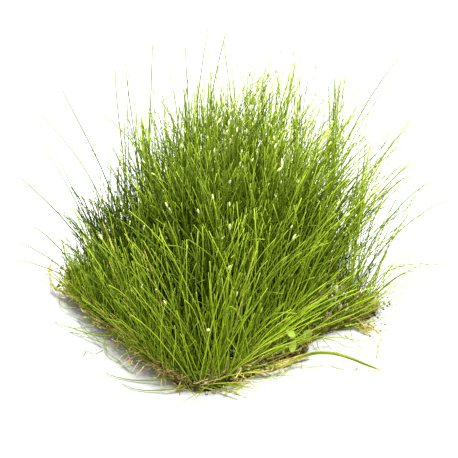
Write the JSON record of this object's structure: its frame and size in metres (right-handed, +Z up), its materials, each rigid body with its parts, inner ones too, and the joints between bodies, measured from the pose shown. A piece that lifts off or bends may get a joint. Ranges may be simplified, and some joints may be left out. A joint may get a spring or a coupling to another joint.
{
  "type": "needle spikerush clump with square root mat",
  "caption": "Clump of needle spikerush out of its pot: fine green stems in upright tufts on a square mat of roots and soil, with stray stems, runners and a seedling.",
  "frame": {"origin": "middle of the mat's flat underside, at z = 0", "axes": "+Z up, the way the stems grow; the mat's sides run along X and Y, and its corner at -X -Y is the one nearest the viewer in the picture"},
  "size_m": [0.1348, 0.1352, 0.095],
  "materials": {
    "stem": "living green stem, soft sheen",
    "blade": "flat green blade, soft sheen",
    "dry_sheath": "dry, matt",
    "root": "pale, matt",
    "soil": "damp soil and fibres, matt",
    "seedling_leaf": "soft green leaf"
  },
  "bodies": {
    "root": {"arching_bundle": "dry_sheath", "blade_left": "blade", "blade_right": "blade", "root_left_front": "root", "root_left_middle": "root", "root_left_rear": "root", "root_mat": "soil", "runner_left": "dry_sheath", "runner_right": "dry_sheath", "seedling": "seedling_leaf", "stray_back": "stem", "stray_back_left": "stem", "stray_left_high": "stem", "stray_left_low": "stem", "stray_left_mid": "stem", "stray_right_flat": "stem", "stray_right_high": "stem", "stray_right_low": "stem", "stray_right_mid": "stem", "trailing_front": "stem", "trailing_left_front": "stem", "trailing_left_rear": "stem", "tuft_01": "stem", "tuft_02": "stem", "tuft_03": "stem", "tuft_04": "stem", "tuft_05": "stem", "tuft_06": "stem", "tuft_07": "stem", "tuft_08": "stem", "tuft_09": "stem", "tuft_10": "stem", "tuft_11": "stem", "tuft_12": "stem", "tuft_13": "stem", "tuft_14": "stem", "tuft_15": "stem", "tuft_16": "stem", "tuft_17": "stem", "tuft_18": "stem", "tuft_19": "stem", "tuft_20": "stem", "tuft_21": "stem", "tuft_22": "stem", "tuft_23": "stem", "tuft_24": "stem", "tuft_25": "stem", "tuft_26": "stem", "tuft_27": "stem", "tuft_28": "stem", "tuft_29": "stem", "tuft_30": "stem", "tuft_31": "stem", "tuft_32": "stem", "tuft_33": "stem", "tuft_34": "stem", "tuft_35": "stem", "tuft_36": "stem"}
  },
  "joints": []
}
